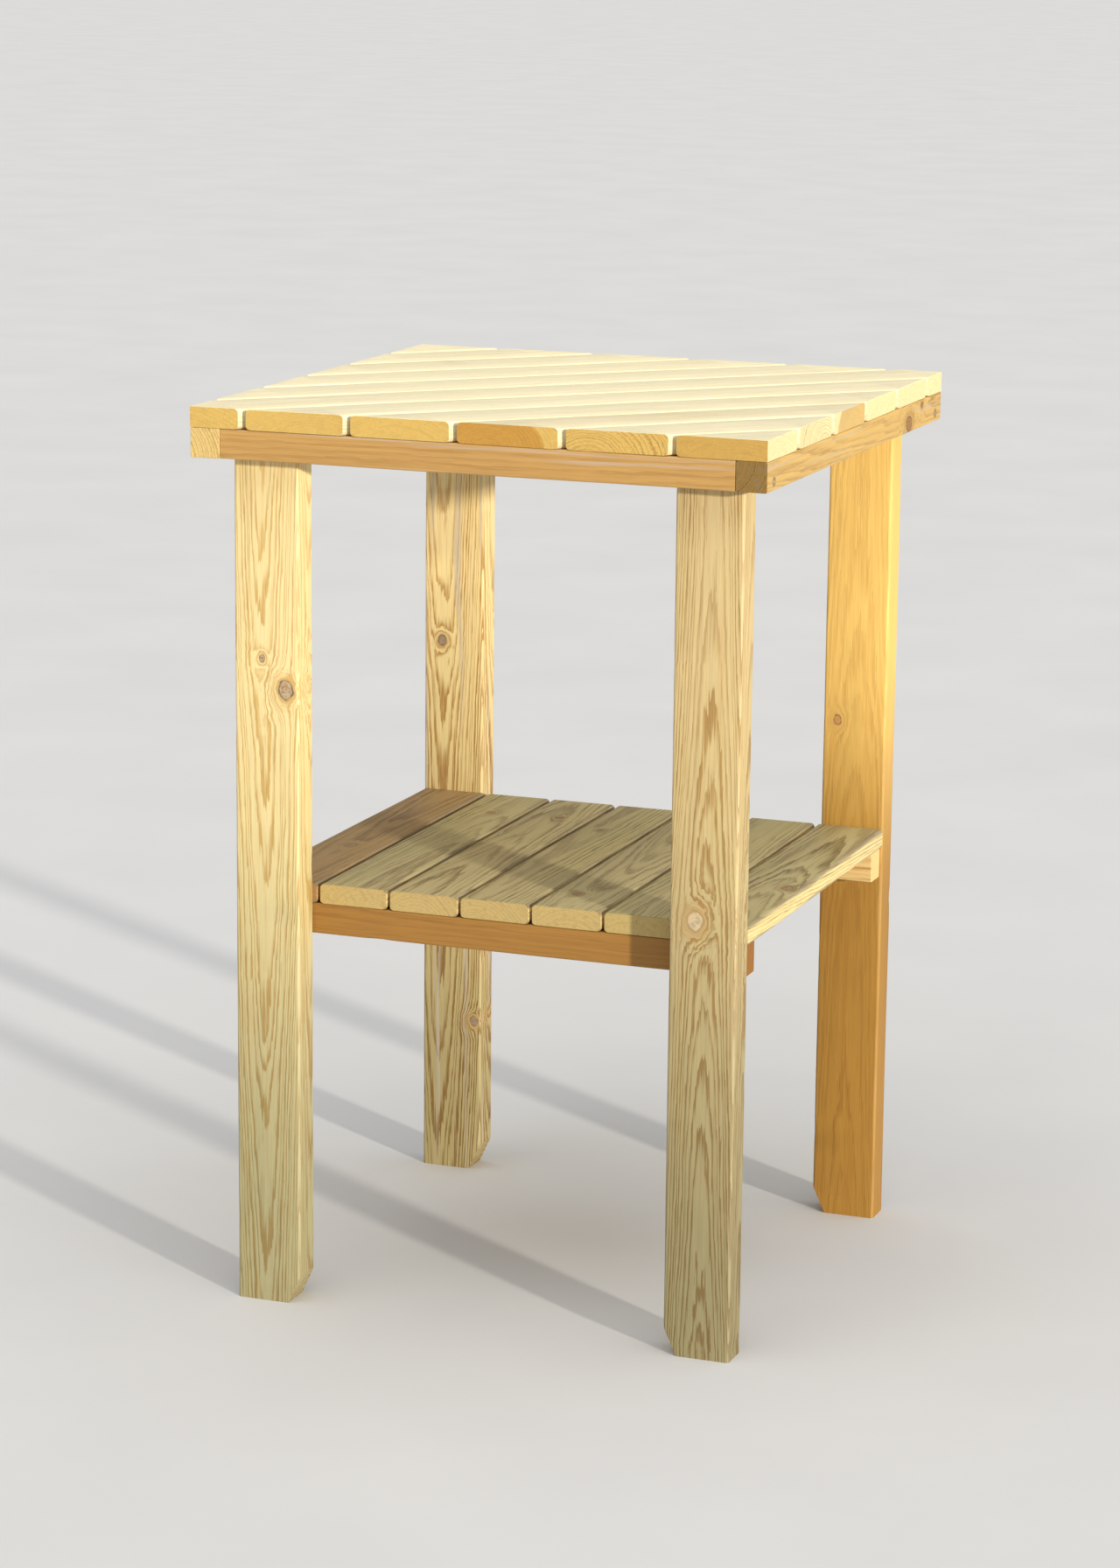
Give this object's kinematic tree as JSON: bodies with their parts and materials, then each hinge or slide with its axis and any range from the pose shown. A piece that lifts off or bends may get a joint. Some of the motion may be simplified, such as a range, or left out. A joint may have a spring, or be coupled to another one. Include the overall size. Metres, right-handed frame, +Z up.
{
  "type": "potting bench",
  "caption": "Square wooden potting bench: diagonal slatted top on a rail frame, plank legs in its corners and a slatted lower shelf on cross rails.",
  "frame": {"origin": "middle of the bench's footprint, on the floor", "axes": "+X to the bench's right side, +Y to its rear, +Z up; the front is -Y"},
  "size_m": [0.6, 0.6, 0.93],
  "materials": {
    "top_boards": "planed pressure-treated pine, pale cream yellow with faint grain",
    "top_frame": "planed pressure-treated pine, golden tan with knots",
    "legs": "planed pressure-treated pine, pale yellow with cathedral grain and knots",
    "shelf_rails": "planed pressure-treated pine, amber",
    "shelf_boards": "planed pressure-treated pine, greyish olive with marked grain",
    "screws": "yellow passivated zinc"
  },
  "bodies": {
    "root": {"top_board_01": "top_boards", "top_board_02": "top_boards", "top_board_03": "top_boards", "top_board_04": "top_boards", "top_board_05": "top_boards", "top_board_06": "top_boards", "top_board_07": "top_boards", "top_board_08": "top_boards", "top_board_09": "top_boards", "top_board_10": "top_boards", "top_board_11": "top_boards", "front_top_rail": "top_frame", "rear_top_rail": "top_frame", "left_top_rail": "top_frame", "right_top_rail": "top_frame", "front_left_leg": "legs", "front_right_leg": "legs", "rear_left_leg": "legs", "rear_right_leg": "legs", "front_shelf_rail": "shelf_rails", "rear_shelf_rail": "shelf_rails", "shelf_board_1": "shelf_boards", "shelf_board_2": "shelf_boards", "shelf_board_3": "shelf_boards", "shelf_board_4": "shelf_boards", "shelf_board_5": "shelf_boards", "shelf_board_6": "shelf_boards", "shelf_board_7": "shelf_boards", "top_board_screws": "screws", "frame_corner_screws": "screws", "leg_screws": "screws", "shelf_rail_screws": "screws", "shelf_board_screws": "screws"}
  },
  "joints": []
}
